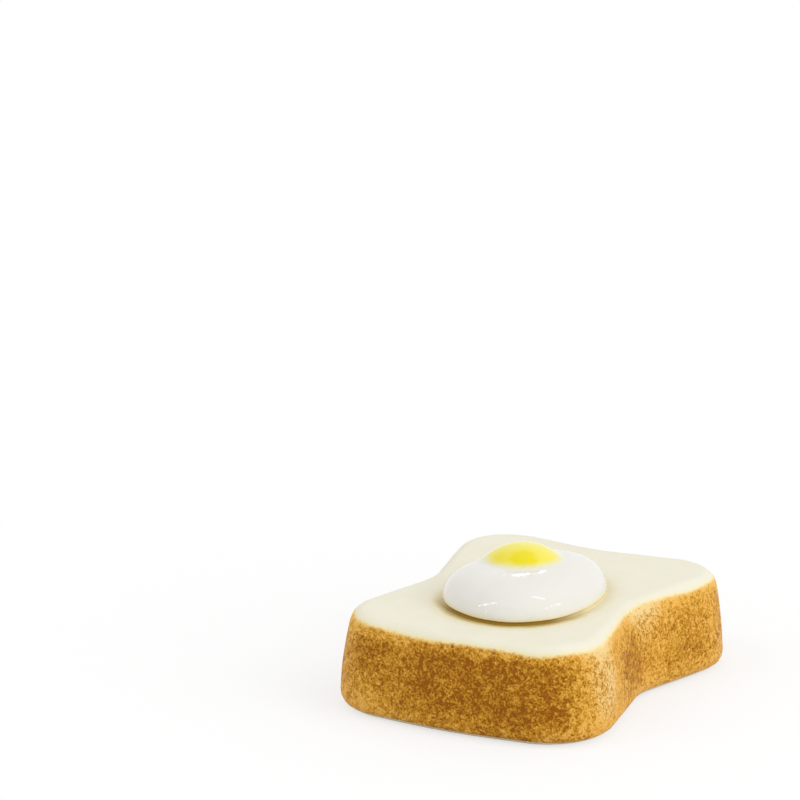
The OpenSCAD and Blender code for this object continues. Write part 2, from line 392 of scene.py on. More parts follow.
class Skin:
    """A skin grown in edit mode: its open edge is extruded and laid on one ring after another."""

    def __init__(self, name, ring):
        bpy.ops.object.select_all(action="DESELECT")
        reach = max(point.length for point in ring)
        bpy.ops.mesh.primitive_circle_add(
            vertices=len(ring), radius=reach, fill_type="NOTHING", location=(0, 0, 0)
        )
        self.piece = bpy.context.object
        self.piece.name = name
        self.piece.data.name = name
        bpy.ops.object.mode_set(mode="EDIT")
        bpy.ops.mesh.select_all(action="SELECT")
        self.edge = list(range(len(ring)))
        self.first = ring
        self.lay(ring)

    def lay(self, ring):
        """Lays the open edge on a ring."""
        mesh = bmesh.from_edit_mesh(self.piece.data)
        mesh.verts.ensure_lookup_table()
        for index, point in zip(self.edge, ring):
            mesh.verts[index].co = point
        bmesh.update_edit_mesh(self.piece.data)

    def grow(self, ring):
        """Extrudes the open edge and lays the new one on a ring."""
        bpy.ops.mesh.extrude_edges_move()
        mesh = bmesh.from_edit_mesh(self.piece.data)
        mesh.verts.index_update()
        grown = {}
        for vert in mesh.verts:
            if vert.select:
                for edge in vert.link_edges:
                    other = edge.other_vert(vert)
                    if not other.select:
                        grown[other.index] = vert.index
        self.edge = [grown[index] for index in self.edge]
        self.lay(ring)

    def grow_all(self, rings):
        """Grows the skin over several rings."""
        for ring in rings:
            self.grow(ring)

    def close_at(self, tip):
        """Closes the open edge in a point."""
        bpy.ops.mesh.extrude_edges_move()
        bpy.ops.mesh.merge(type="CENTER")
        mesh = bmesh.from_edit_mesh(self.piece.data)
        for vert in mesh.verts:
            if vert.select:
                vert.co = tip
        bmesh.update_edit_mesh(self.piece.data)

    def close_over(self, ring, middle, parts):
        """Closes the skin from a ring to a middle, over rings that are parts of its size."""
        for part in parts:
            self.grow([middle + (point - middle) * part for point in ring])
        self.close_at(middle)

    def open_again(self):
        """Selects the skin's first edge, so that it can grow the other way."""
        bpy.ops.mesh.select_all(action="DESELECT")
        mesh = bmesh.from_edit_mesh(self.piece.data)
        for edge in mesh.edges:
            if edge.is_boundary:
                edge.select_set(True)
        bmesh.update_edit_mesh(self.piece.data)
        self.edge = list(range(len(self.first)))

    def join_to_start(self):
        """Joins the open edge to the skin's first ring."""
        self.grow(self.first)
        bpy.ops.mesh.select_all(action="SELECT")
        bpy.ops.mesh.remove_doubles(threshold=0.002 * MM)

    def number_by_place(self):
        """Numbers the points by their places, and the edges and faces by their points, since an
        extrusion numbers them differently on each run."""
        mesh = bmesh.from_edit_mesh(self.piece.data)
        for number, vert in enumerate(sorted(mesh.verts, key=lambda vert: tuple(vert.co))):
            vert.index = number
        mesh.verts.sort()
        for parts in (mesh.edges, mesh.faces):
            by_points = sorted(parts, key=lambda part: sorted(vert.index for vert in part.verts))
            for number, part in enumerate(by_points):
                part.index = number
            parts.sort()
        bmesh.update_edit_mesh(self.piece.data)

    def finish(self):
        """Points the faces outwards and leaves edit mode."""
        bpy.ops.mesh.select_all(action="SELECT")
        bpy.ops.mesh.normals_make_consistent(inside=False)
        bpy.ops.mesh.select_all(action="DESELECT")
        self.number_by_place()
        bpy.ops.object.mode_set(mode="OBJECT")
        return self.piece


def press_by_hand(piece, sizes):
    """Gives a piece the slight sway of hand-pressed clay, which fades out towards its base.
    The sway goes by place alone, so that pieces that touch move together."""
    name, fade_height = "pressed_clay", 4 * MM
    cloud = bpy.data.textures.get(name) or bpy.data.textures.new(name, "CLOUDS")
    cloud.cloud_type = "COLOR"
    cloud.noise_scale = sizes.unevenness_reach
    cloud.noise_depth = 1
    free = piece.vertex_groups.new(name="above_base")
    for vert in piece.data.vertices:
        free.add([vert.index], smooth_step(0, fade_height, vert.co.z), "REPLACE")
    bpy.ops.object.modifier_add(type="DISPLACE")
    sway = piece.modifiers[-1]
    sway.texture = cloud
    sway.texture_coords = "LOCAL"
    sway.direction = "RGB_TO_XYZ"
    sway.mid_level = 0.5
    sway.strength = sizes.unevenness
    sway.vertex_group = free.name
    bpy.ops.object.modifier_apply(modifier=sway.name)
    piece.vertex_groups.clear()


def dress(piece, node, material):
    """Presses, smooths and glazes a finished piece, and puts it in its node's place."""
    press_by_hand(piece, bpy.context.scene.toast_slice)
    bpy.ops.object.shade_smooth_by_angle(angle=math.radians(40))
    piece.data.materials.append(material)
    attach(piece, BODY)
    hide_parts(node)
    low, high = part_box(node)
    allowed = 0.5 * MM
    own = [piece.matrix_world @ vert.co for vert in piece.data.vertices]
    for axis in range(3):
        strays = max(
            low[axis] - min(point[axis] for point in own),
            max(point[axis] for point in own) - high[axis],
        )
        if strays > allowed:
            raise RuntimeError(f"{piece.name} reaches {strays / MM:.2f} mm past {node}")


# The egg's surface


class EggForm:
    """The fried egg's outline and its dome."""

    sides = 160
    # The dome falls from its middle to its rim as (1 - part ** dome_power) ** dome_fall.
    dome_power = 4.75
    dome_fall = 0.62
    # The outline swells in three places by a share of its reach.
    lopsided_share = 0.04
    lopsided_at = math.radians(-43)
    # The undercut's curve runs from this angle at the foot to a quarter turn at the widest line.
    undercut_from = math.radians(40)
    # The seam round the yolk and the rings of its seat, as shares of the yolk and of the seam.
    seam_share = 0.93
    seat_shares = (0.7, 0.4)
    # Step to the next ring on each side of the seam, so that the shading of both meets there.
    seam_step_share = 0.008
    # Where the pooled glaze is widest, and its width opposite, as a share of that.
    pool_side = Vector((0.14, -0.99))
    pool_back_share = 0.2
    # Where the yolk's glaze runs down.
    yolk_run = Vector((0.35, -0.94))

    def __init__(self, scene):
        self.sizes = sizes = scene.toast_egg
        self.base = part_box("crumb_glaze")[1].z
        self.middle = Vector((sizes.white_x, sizes.white_y))
        self.yolk_middle = self.middle + Vector((sizes.yolk_x, sizes.yolk_y))
        self.yolk_radius = sizes.yolk_width / 2
        self.ball = (self.yolk_radius**2 + sizes.yolk_height**2) / (2 * sizes.yolk_height)
        self.yolk_foot = self.white_z(self.yolk_middle)
        self.seam = self.yolk_radius * self.seam_share
        angles = steps_between(0, 2 * math.pi, self.sides)[:-1]
        self.rays = [Vector((math.cos(angle), math.sin(angle))) for angle in angles]
        self.seat_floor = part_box("egg_yolk")[0].z
        self.half_seat = (self.on_egg(self.yolk_circle(self.seam)[0]).z + self.seat_floor) / 2
        self.seat_middle = Vector((self.yolk_middle.x, self.yolk_middle.y, self.seat_floor))
        self.pool_top = math.acos((1 - sizes.pool_climb) * math.cos(self.undercut_from))

    def white_radius(self, ray):
        """Distance from the middle of the egg white to its outline, along a ray."""
        sizes = self.sizes
        along = math.atan2(ray.y, ray.x) - QUARTER + sizes.turn
        part = math.atan2(
            math.sin(along) * sizes.white_length, math.cos(along) * sizes.white_width
        )
        reach = math.hypot(
            math.cos(part) * sizes.white_length / 2, math.sin(part) * sizes.white_width / 2
        )
        return reach * (1 + self.lopsided_share * math.cos(3 * part - self.lopsided_at))

    def white_z(self, point):
        """Height of the egg white's own dome at a point, without the yolk."""
        out = point - self.middle
        part = out.length / self.white_radius(out)
        level = max(0, 1 - part**self.dome_power) ** self.dome_fall
        rim_height = self.sizes.rim_height
        return self.base + rim_height + (self.sizes.white_height - rim_height) * level

    def yolk_z(self, point):
        """Height of the yolk's dome at a point."""
        out = (point - self.yolk_middle).length
        cap = math.sqrt(max(0, self.ball**2 - out**2))
        return self.yolk_foot + self.sizes.yolk_height - self.ball + cap

    def on_egg(self, point):
        """The point on the egg's surface over a place in plan."""
        white, yolk = self.white_z(point), self.yolk_z(point)
        blend = self.sizes.yolk_blend
        part = max(0, min(1, (1 + (yolk - white) / blend) / 2))
        z = white + (yolk - white) * part + blend * part * (1 - part)
        return Vector((point.x, point.y, z))

    def rim(self, out=0):
        """The white's outline, moved out by a distance, as plan points."""
        return [self.middle + ray * (self.white_radius(ray) + out) for ray in self.rays]

    def yolk_circle(self, radius):
        """A circle round the yolk's middle, as plan points."""
        return [self.yolk_middle + ray * radius for ray in self.rays]

    def level(self, points, z):
        """Plan points at a height."""
        return [Vector((point.x, point.y, z)) for point in points]

    def pool_rim(self, top_out, angle):
        """Plan points on the hollow face of the pooled glaze at an angle of its curve. The pool
        is wide at the front and thin at the back."""
        points = []
        for ray in self.rays:
            towards = (1 + ray.dot(self.pool_side)) / 2
            front_share = self.pool_back_share + (1 - self.pool_back_share) * towards**2
            width = self.sizes.pool_width * front_share
            out = top_out + (width - top_out) * (1 - math.cos(angle))
            points.append(self.middle + ray * (self.white_radius(ray) + out))
        return points

    def undercut_out(self, angle):
        """Distance outwards from the widest line to the undercut at an angle of its curve."""
        fall = (1 - math.sin(angle)) / (1 - math.sin(self.undercut_from))
        return -self.sizes.undercut * fall

    def undercut_ring(self, angle):
        """The ring on the undercut at an angle of its curve."""
        climb = 1 - math.cos(angle) / math.cos(self.undercut_from)
        z = self.base + self.sizes.rim_height * climb
        return self.level(self.rim(self.undercut_out(angle)), z)

    def undercut_rings(self, first, last, count):
        """Rings on the undercut from one angle of its curve to another."""
        return [self.undercut_ring(angle) for angle in steps_between(first, last, count)]


# Nodes


def fed(tree, node, inputs):
    """Links or sets the inputs of a node, and returns the node."""
    for socket, value in inputs.items():
        if isinstance(value, bpy.types.NodeSocket):
            tree.links.new(value, node.inputs[socket])
        else:
            node.inputs[socket].default_value = value
    return node


def add_node(tree, kind, inputs=None, **settings):
    """Adds a node with its settings, and sets or links its inputs."""
    made = tree.nodes.new(kind)
    for name, value in settings.items():
        setattr(made, name, value)
    return fed(tree, made, inputs or {})


def use_group(tree, group, inputs):
    """Places a node group with its own values, and returns what it puts out."""
    return add_node(tree, "ShaderNodeGroup", inputs, node_tree=group).outputs


def math_node(tree, operation, *values):
    """The result of a sum on one, two or three values."""
    made = add_node(tree, "ShaderNodeMath", dict(enumerate(values)), operation=operation)
    return made.outputs[0]


def vector_node(tree, operation, *vectors):
    """The result of a sum on one or two vectors: a number where the operation gives one."""
    made = add_node(tree, "ShaderNodeVectorMath", dict(enumerate(vectors)), operation=operation)
    gives_number = operation in ("DISTANCE", "DOT_PRODUCT", "LENGTH")
    return made.outputs["Value" if gives_number else "Vector"]


def height_of(tree, place):
    """The height of a place."""
    return add_node(tree, "ShaderNodeSeparateXYZ", {0: place}).outputs["Z"]


def noise(tree, vector, size, detail=2.0, roughness=0.5, distortion=0.0):
    """Noise from 0 to 1 whose features have a size in the vector's units."""
    inputs = {
        "Vector": vector,
        "Scale": math_node(tree, "DIVIDE", 1.0, size),
        "Detail": detail,
        "Roughness": roughness,
        "Distortion": distortion,
    }
    return add_node(tree, "ShaderNodeTexNoise", inputs).outputs["Fac"]


def stray_noise(tree, vector, size, **character):
    """Noise that strays to both sides of 0."""
    return math_node(tree, "SUBTRACT", noise(tree, vector, size, **character), 0.5)


def rise(tree, value, low, high):
    """0 on low's side, 1 on high's side, and a soft rise between them. Low may be the larger."""
    inputs = {"Value": value, "From Min": low, "From Max": high, "To Min": 0.0, "To Max": 1.0}
    made = add_node(tree, "ShaderNodeMapRange", inputs, interpolation_type="SMOOTHSTEP")
    return made.outputs["Result"]


def between(tree, part, low, high):
    """A value that runs evenly from low at part 0 to high at part 1."""
    inputs = {"Value": part, "To Min": low, "To Max": high}
    return add_node(tree, "ShaderNodeMapRange", inputs).outputs["Result"]


def with_spots(tree, place, spots, value, stray=0.0):
    """A value plus the change of each spot that the place lies in. Each spot is its middle, its
    inner and outer reach and its change. The stray makes the spots ragged."""
    for middle, inner, outer, change in spots:
        away = math_node(tree, "ADD", vector_node(tree, "DISTANCE", place, middle), stray)
        value = math_node(tree, "MULTIPLY_ADD", rise(tree, away, outer, inner), change, value)
    return value


def opaque(colour):
    """A colour with full alpha, or the colour's socket as it is."""
    return colour if isinstance(colour, bpy.types.NodeSocket) else (*colour, 1.0)


def mixed(tree, factor, first, second):
    """The first colour at factor 0 and the second at 1."""
    # The mix node's sockets for colours come after those for numbers and vectors.
    inputs = {0: factor, 6: opaque(first), 7: opaque(second)}
    return add_node(tree, "ShaderNodeMix", inputs, data_type="RGBA").outputs[2]


SOCKETS = {"value": "NodeSocketFloat", "colour": "NodeSocketColor", "vector": "NodeSocketVector"}


def node_group(name, inputs, outputs):
    """A new shader node group with named sockets. Returns it with the values that it is given
    and with its output node."""
    group = bpy.data.node_groups.new(name, "ShaderNodeTree")
    for in_out, sockets in (("INPUT", inputs), ("OUTPUT", outputs)):
        for socket, kind in sockets.items():
            group.interface.new_socket(name=socket, in_out=in_out, socket_type=SOCKETS[kind])
    given = group.nodes.new("NodeGroupInput").outputs
    return group, given, group.nodes.new("NodeGroupOutput")


def speckle_group():
    """Sponged grains of three tones that gather in darker and lighter patches."""
    name = "sponged_speckle"
    if name in bpy.data.node_groups:
        return bpy.data.node_groups[name]
    tones = {"Light": "colour", "Middle": "colour", "Dark": "colour"}
    group, given, result = node_group(
        name,
        {"Vector": "vector", "Grain": "value", "Patch": "value", "Lift": "value", **tones},
        {"Color": "colour", "Height": "value"},
    )
    fine_size_share, fine_share, patch_drift = 0.42, 0.4, 0.26
    dark_to_middle, middle_to_light = (0.33, 0.52), (0.48, 0.63)
    vector, grain = given["Vector"], given["Grain"]
    coarse = noise(group, vector, grain, detail=3.0, roughness=0.6, distortion=0.8)
    fine_size = math_node(group, "MULTIPLY", grain, fine_size_share)
    fine = noise(group, vector, fine_size, detail=1.0)
    patch = stray_noise(
        group, vector, given["Patch"], detail=3.0, roughness=0.55, distortion=0.4
    )
    tone = math_node(group, "MULTIPLY", coarse, 1 - fine_share)
    tone = math_node(group, "MULTIPLY_ADD", fine, fine_share, tone)
    tone = math_node(group, "MULTIPLY_ADD", patch, patch_drift, tone)
    tone = math_node(group, "ADD", tone, given["Lift"])
    low = mixed(group, rise(group, tone, *dark_to_middle), given["Dark"], given["Middle"])
    whole = mixed(group, rise(group, tone, *middle_to_light), low, given["Light"])
    fed(group, result, {"Color": whole, "Height": tone})
    return group


# Spots where the border of the brown rises: middle, inner and outer reach, and rise, in
# millimetres.
BORDER_RISES = (
    ((20.0, 1.0, 13.0), 4.0, 13.0, 0.4),
    ((-21.0, -25.0, 13.0), 5.0, 15.0, 0.4),
)


def border_group():
    """The ragged border where the brown coat fades out at the crumb's edge. Below is how far a
    point lies down from that edge. Mask is 1 on the brown, Band also on its thin straw-coloured
    rim, and Thin falls from 1 at the border to 0 where the brown is sprayed fully. Where the
    border rises, the thin spray also reaches further down."""
    name = "crust_border"
    if name in bpy.data.node_groups:
        return bpy.data.node_groups[name]
    group, given, result = node_group(
        name,
        {"Vector": "vector", "Below": "value", "Line": "value", "Soft": "value", "Fade": "value"},
        {"Mask": "value", "Band": "value", "Thin": "value"},
    )
    wide_size, narrow_size, narrow_share = 9.0, 0.8, 0.65
    reach_per_stray, reach_per_rise = 3.0, 2.0
    vector = given["Vector"]
    wide = stray_noise(group, vector, wide_size, detail=1.0)
    narrow = stray_noise(group, vector, narrow_size, roughness=0.6)
    stray = math_node(group, "MULTIPLY_ADD", narrow, narrow_share, wide)
    raised = with_spots(group, vector, BORDER_RISES, 0.0)
    line = math_node(group, "SUBTRACT", given["Line"], raised)
    past = math_node(group, "SUBTRACT", math_node(group, "ADD", stray, given["Below"]), line)
    soft_past = math_node(group, "DIVIDE", past, given["Soft"])
    reach = math_node(group, "MULTIPLY_ADD", wide, reach_per_stray, given["Fade"])
    reach = math_node(group, "MULTIPLY_ADD", raised, reach_per_rise, reach)
    masks = {
        "Mask": rise(group, soft_past, -0.5, 0.5),
        "Band": rise(group, soft_past, -1.2, -0.2),
        "Thin": rise(group, math_node(group, "DIVIDE", past, reach), 1.0, 0.0),
    }
    fed(group, result, masks)
    return group


def flat_place(point):
    """A plan point as a place in millimetres at height 0."""
    return (point.x / MM, point.y / MM, 0)


def egg_distance_group(egg):
    """Distances in plan from the egg white's outline and from the middle of the yolk, and along
    the directions in which the yolk runs and the glaze pools."""
    name = "egg_distance"
    if name in bpy.data.node_groups:
        return bpy.data.node_groups[name]
    group, given, result = node_group(
        name,
        {"Vector": "vector"},
        {"From White": "value", "From Yolk": "value", "Down Yolk": "value", "Pool Side": "value"},
    )
    sizes = egg.sizes
    flat = vector_node(group, "MULTIPLY", given["Vector"], (1, 1, 0))
    to_oval = {
        "Vector": flat,
        "Location": flat_place(egg.middle),
        "Rotation": (0, 0, -sizes.turn),
        "Scale": (sizes.white_width / 2 / MM, sizes.white_length / 2 / MM, 1),
    }
    oval = add_node(group, "ShaderNodeMapping", to_oval, vector_type="TEXTURE").outputs[0]
    oval_at = add_node(group, "ShaderNodeSeparateXYZ", {0: oval}).outputs
    leftwards = math_node(group, "MULTIPLY", oval_at["X"], -1.0)
    part = math_node(group, "ARCTAN2", leftwards, oval_at["Y"])
    bulge = math_node(
        group, "COSINE", math_node(group, "MULTIPLY_ADD", part, 3.0, -egg.lopsided_at)
    )
    lopsided = math_node(group, "MULTIPLY_ADD", bulge, egg.lopsided_share, 1.0)
    inner_share = math_node(group, "DIVIDE", lopsided, vector_node(group, "LENGTH", oval))
    outer_share = math_node(group, "SUBTRACT", 1.0, inner_share)
    from_middle = vector_node(group, "SUBTRACT", flat, flat_place(egg.middle))
    from_yolk = vector_node(group, "SUBTRACT", flat, flat_place(egg.yolk_middle))
    out = vector_node(group, "LENGTH", from_middle)
    distances = {
        "From White": math_node(group, "MULTIPLY", out, outer_share),
        "From Yolk": vector_node(group, "LENGTH", from_yolk),
        "Down Yolk": vector_node(group, "DOT_PRODUCT", from_yolk, egg.yolk_run.to_3d()),
        "Pool Side": vector_node(group, "DOT_PRODUCT", from_middle, egg.pool_side.to_3d()),
    }
    fed(group, result, distances)
    return group


def skin_group():
    """Slow waves and fine pores of a fired glaze, as a height, and its smears as a mask."""
    name = "glaze_skin"
    if name in bpy.data.node_groups:
        return bpy.data.node_groups[name]
    group, given, result = node_group(
        name,
        {"Vector": "vector", "Wave": "value", "Pore": "value", "Pore Share": "value"},
        {"Height": "value", "Smear": "value"},
    )
    vector = given["Vector"]
    wave = noise(group, vector, given["Wave"], detail=1.0)
    pore = noise(group, vector, given["Pore"])
    smear_per_wave, smear_tones = 2.5, (0.35, 0.7)
    smear_size = math_node(group, "MULTIPLY", given["Wave"], smear_per_wave)
    smear = noise(group, vector, smear_size, detail=3.0, roughness=0.6)
    parts = {0: given["Pore Share"], 2: wave, 3: pore}
    height = add_node(group, "ShaderNodeMix", parts, data_type="FLOAT").outputs[0]
    fed(group, result, {"Height": height, "Smear": rise(group, smear, *smear_tones)})
    return group


# Spots where the brown is darker or lighter: middle, inner and outer reach in
# millimetres, and change of tone. Two of them are painted shade and one a painted highlight, as
# marked below.
TONE_AND_PAINTED_LIGHT_SPOTS = (
    # Painted shade: darker over the middle of the front face.
    ((6.0, -28.0, 6.0), 8.0, 20.0, -0.11),
    ((18.0, -5.0, 5.0), 2.0, 8.0, -0.06),
    # Painted highlight: lighter on the right side near the foot corner.
    ((24.0, -19.0, 9.0), 3.0, 11.0, 0.08),
    ((19.0, 2.0, 12.0), 2.0, 7.0, 0.05),
    # Painted shade: darker on the left side near the foot corner.
    ((-25.0, -19.0, 7.0), 3.0, 10.0, -0.10),
    ((-14.0, -27.5, 14.0), 4.0, 9.0, -0.055),
)


def speckled_brown(tree, place, thin, colours):
    """The brown's speckle, with grains that pale where it is thin. They also pale near the base
    as painted bounce light, and darken or pale in spots, two of which are painted shade and one a
    painted highlight.
    """
    height = height_of(tree, place)
    # Painted bounce light: the brown pales near the base. It also pales a little towards the top.
    painted_light_near_base, upper = rise(tree, height, 5.0, 1.2), rise(tree, height, 8.0, 12.0)
    grain_size, patch_size, whole_lift = 0.72, 7.0, 0.004
    # The spots hold painted shade and a painted highlight in the brown's tone.
    lift = with_spots(tree, place, TONE_AND_PAINTED_LIGHT_SPOTS, math_node(tree, "MULTIPLY", thin, 0.03))
    light = mixed(tree, rise(tree, lift, 0.02, 0.09), colours.honey, colours.pale_honey)
    for mask, change in ((thin, 0.07), (painted_light_near_base, 0.08), (upper, 0.015)):
        lift = math_node(tree, "MULTIPLY_ADD", mask, change, lift)
    dark = mixed(tree, rise(tree, lift, 0.05, 0.2), colours.burnt, colours.caramel)
    inputs = {
        "Vector": place,
        "Grain": grain_size,
        "Patch": patch_size,
        "Lift": math_node(tree, "ADD", lift, whole_lift),
        "Light": light,
        "Middle": opaque(colours.caramel),
        "Dark": dark,
    }
    return use_group(tree, speckle_group(), inputs)


def stained_cream(tree, place, colours):
    """The crumb's cream with its stain round the egg, which is strongest where glaze pools. The
    narrow dark stain next to the pooled glaze is partly painted shadow of the egg's rim.
    """
    mottle = rise(tree, noise(tree, place, size=4.5, detail=4.0, roughness=0.6), 0.3, 0.7)
    cream = mixed(tree, mottle, colours.cream, colours.cream_shade)
    egg = EggForm(bpy.context.scene)
    distance = use_group(tree, egg_distance_group(egg), {"Vector": place})
    stray_size, stray_reach, stain_start = 3.5, 0.9, 0.3
    stray = stray_noise(tree, place, stray_size)
    from_egg = math_node(tree, "MULTIPLY_ADD", stray, stray_reach, distance["From White"])
    to_pool = rise(tree, distance["Pool Side"], 1.0, 12.0)
    # The second stain is partly painted shadow next to the pooled glaze.
    # Each stain's outer reach, its strength away from the pool and how much it gains towards it.
    stains = ((colours.halo, 3.6, 0.3, 0.5), (colours.stain, 1.9, 0.1, 0.8))
    for stain, reach, strength, gain in stains:
        strength = math_node(tree, "MULTIPLY_ADD", to_pool, gain, strength)
        near = rise(tree, from_egg, reach, stain_start)
        cream = mixed(tree, math_node(tree, "MULTIPLY", near, strength), cream, stain)
    return cream


def toast_group(colours):
    """Colour of the slice's glazes: cream on the crumb, speckled brown on the crust, and straw
    between them. Grain is the tone of the speckle, and Brown is 1 on the brown."""
    name = "toast_glaze"
    if name in bpy.data.node_groups:
        return bpy.data.node_groups[name]
    group, given, result = node_group(
        name,
        {"Vector": "vector", "Below": "value"},
        {"Color": "colour", "Grain": "value", "Brown": "value"},
    )
    place = given["Vector"]
    reaches = {"Line": 2.1, "Soft": 0.6, "Fade": 2.2}
    inputs = {"Vector": place, "Below": given["Below"], **reaches}
    border = use_group(group, border_group(), inputs)
    speckle = speckled_brown(group, place, border["Thin"], colours)
    whole = mixed(group, border["Band"], stained_cream(group, place, colours), colours.straw)
    whole = mixed(group, border["Mask"], whole, speckle["Color"])
    fed(group, result, {"Color": whole, "Grain": speckle["Height"], "Brown": border["Mask"]})
    return group


# Materials


def new_material(name):
    """A bare material. Returns it with its node tree, its shader and its place in millimetres."""
    material = bpy.data.materials.new(name)
    material.use_nodes = True
    tree = material.node_tree
    shader = tree.nodes["Principled BSDF"]
    place = add_node(tree, "ShaderNodeTexCoord").outputs["Object"]
    inputs = {"Vector": place, "Scale": (1 / MM, 1 / MM, 1 / MM)}
    return material, tree, shader, add_node(tree, "ShaderNodeMapping", inputs).outputs[0]


def glaze_skin(tree, place, wave, pore, pore_share):
    """The height and the smears of a glaze with its own sizes of waves and pores."""
    inputs = {"Vector": place, "Wave": wave, "Pore": pore, "Pore Share": pore_share}
    return use_group(tree, skin_group(), inputs)


def bumped(tree, height, distance):
    """The normals of a bump from a height."""
    inputs = {"Height": height, "Distance": distance}
    return add_node(tree, "ShaderNodeBump", inputs).outputs["Normal"]


def toast_material(name, smooth, rough):
    """A slice glaze whose roughness lies between two values."""
    colours = bpy.context.scene.toast_colours
    material, tree, shader, place = new_material(name)
    below = add_node(tree, "ShaderNodeAttribute", attribute_name=BELOW_EDGE).outputs["Fac"]
    toast = use_group(tree, toast_group(colours), {"Vector": place, "Below": below})
    skin = glaze_skin(tree, place, wave=3.0, pore=0.35, pore_share=0.35)
    grain_height = 1.6
    grainy = math_node(tree, "MULTIPLY", toast["Grain"], toast["Brown"])
    height = math_node(tree, "MULTIPLY_ADD", grainy, grain_height, skin["Height"])
    looks = {
        "Base Color": toast["Color"],
        "Roughness": between(tree, skin["Smear"], smooth, rough),
        "Specular IOR Level": 0.08,
        "Normal": bumped(tree, height, distance=0.1 * MM),
    }
    fed(tree, shader, looks)
    return material


def brown_glaze():
    """Dry satin glaze of the crust."""
    return toast_material("brown_glaze", smooth=0.42, rough=0.56)


def cream_glaze():
    """Satin glaze of the crumb."""
    return toast_material("cream_glaze", smooth=0.4, rough=0.54)


def bare_clay():
    """Unglazed clay of the foot and the underside."""
    colours = bpy.context.scene.toast_colours
    material, tree, shader, place = new_material("bare_clay")
    grain = noise(tree, place, size=0.5, detail=4.0, roughness=0.65)
    patch = noise(tree, place, size=6.0, detail=3.0)
    grain_share = 0.6
    tone = math_node(tree, "MULTIPLY", patch, 1 - grain_share)
    tone = math_node(tree, "MULTIPLY_ADD", grain, grain_share, tone)
    looks = {
        "Base Color": mixed(tree, rise(tree, tone, 0.36, 0.62), colours.clay_shade, colours.clay),
        "Roughness": 0.82,
        "Normal": bumped(tree, tone, distance=0.12 * MM),
    }
    fed(tree, shader, looks)
    return material


# Spots where the yolk's glaze lies deepest: middle, inner and outer reach in millimetres, and
# how much they deepen the yellow.
YOLK_POOLS = (
    ((1.4, -5.5, 20.9), 0.6, 2.9, 0.85),
    ((-2.4, -6.3, 20.3), 0.3, 2.4, 0.4),
)


def egg_colour(tree, place, colours):
    """White that turns yellow over the yolk, deepest on its front, and straw at its foot."""
    egg = EggForm(bpy.context.scene)
    stray_size, run_stray, pool_stray, edge_stray = 2.4, 6.0, 4.5, 0.8
    run_share, foot_share = 0.4, 0.75
    distance = use_group(tree, egg_distance_group(egg), {"Vector": place})
    stray = stray_noise(tree, place, stray_size)
    run = math_node(tree, "MULTIPLY_ADD", stray, run_stray, distance["Down Yolk"])
    depth = math_node(tree, "MULTIPLY", rise(tree, run, -3.0, 4.0), run_share)
    ragged = math_node(tree, "MULTIPLY", stray, pool_stray)
    depth = with_spots(tree, place, YOLK_POOLS, depth, ragged)
    yellow = mixed(tree, depth, colours.yolk_pale, colours.yolk)
    out = math_node(tree, "MULTIPLY_ADD", stray, edge_stray, distance["From Yolk"])
    whole = mixed(tree, rise(tree, out, 4.7, 6.6), yellow, colours.egg_white)
    straw_top, straw_full = egg.base / MM + 1.05, egg.base / MM + 0.5
    foot = rise(tree, height_of(tree, place), straw_top, straw_full)
    return mixed(tree, math_node(tree, "MULTIPLY", foot, foot_share), whole, colours.straw)


def glossy_egg(name):
    """Glossy glaze of the egg."""
    material, tree, shader, place = new_material(name)
    skin = glaze_skin(tree, place, wave=3.0, pore=0.9, pore_share=0.1)
    looks = {
        "Base Color": egg_colour(tree, place, bpy.context.scene.toast_colours),
        "Roughness": between(tree, skin["Smear"], 0.07, 0.14),
        "Specular IOR Level": 0.1,
        "Coat Weight": 0.55,
        "Coat Roughness": 0.03,
        "Normal": bumped(tree, skin["Height"], distance=0.22 * MM),
    }
    fed(tree, shader, looks)
    return material


def amber_glaze():
    """Glaze pooled under the egg white, darkest at the front and close under the white. The
    darkness close under the white's lip is also painted shade in the undercut.
    """
    colours = bpy.context.scene.toast_colours
    egg = EggForm(bpy.context.scene)
    material, tree, shader, place = new_material("amber_glaze")
    distance = use_group(tree, egg_distance_group(egg), {"Vector": place})
    stray_size, side_stray = 5.0, 6.0
    stray = stray_noise(tree, place, stray_size)
    side = math_node(tree, "MULTIPLY_ADD", stray, side_stray, distance["Pool Side"])
    wide = rise(tree, side, 2.5, 13.0)
    pooled_and_shaded = mixed(tree, wide, colours.amber_thin, colours.amber)
    shallow = mixed(tree, wide, colours.halo, colours.amber_shallow)
    # Painted shade: the bead is darkest in this band close under the white's lip.
    lip_shade_from = 0.5
    base = egg.base / MM
    low = rise(tree, height_of(tree, place), base + lip_shade_from, base)
    skin = glaze_skin(tree, place, wave=1.5, pore=0.3, pore_share=0.2)
    looks = {
        "Base Color": mixed(tree, low, pooled_and_shaded, shallow),
        "Roughness": 0.35,
        "Specular IOR Level": 0.1,
        "Normal": bumped(tree, skin["Height"], distance=0.05 * MM),
    }
    fed(tree, shader, looks)
    return material


# Pieces


